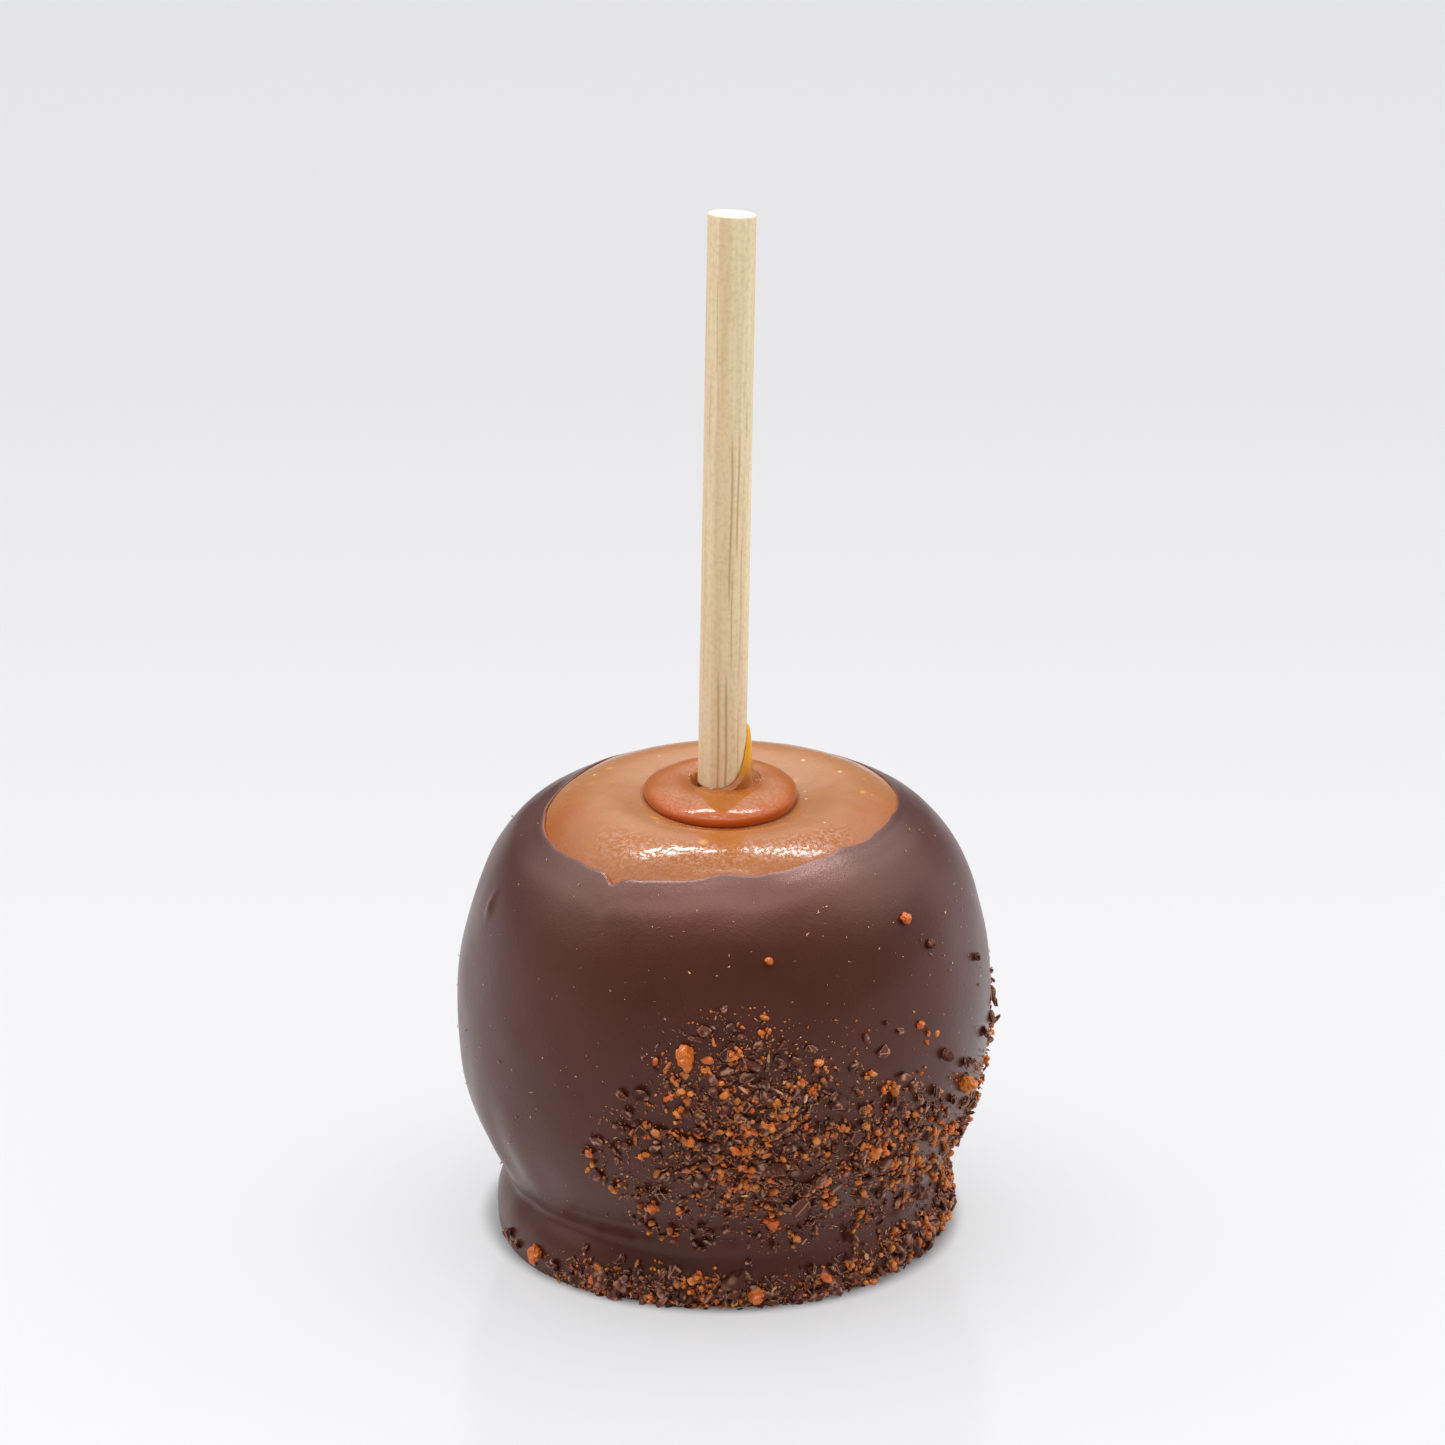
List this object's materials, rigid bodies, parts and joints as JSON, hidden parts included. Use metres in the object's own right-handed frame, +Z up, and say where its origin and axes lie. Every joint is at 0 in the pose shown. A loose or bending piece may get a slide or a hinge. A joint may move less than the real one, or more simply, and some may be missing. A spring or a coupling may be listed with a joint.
{
  "type": "chocolate-dipped caramel apple on a stick",
  "caption": "Upright caramel apple on a round wooden stick, dipped in chocolate up to its shoulders and dusted with toffee and chocolate crumbs.",
  "frame": {"origin": "middle of the chocolate foot, on the surface that the apple stands on", "axes": "+Z up, along the stick; the crumbed side faces -Y and +X"},
  "size_m": [0.0791, 0.0798, 0.1517],
  "materials": {
    "wood": "plain pale wood, unvarnished",
    "caramel": "soft satin caramel",
    "collar": "glossy pooled caramel",
    "chocolate": "satin chocolate with crumbs"
  },
  "bodies": {
    "root": {"stick": "wood", "caramel_coat": "caramel", "caramel_collar": "collar", "chocolate_coat": "chocolate"}
  },
  "joints": []
}
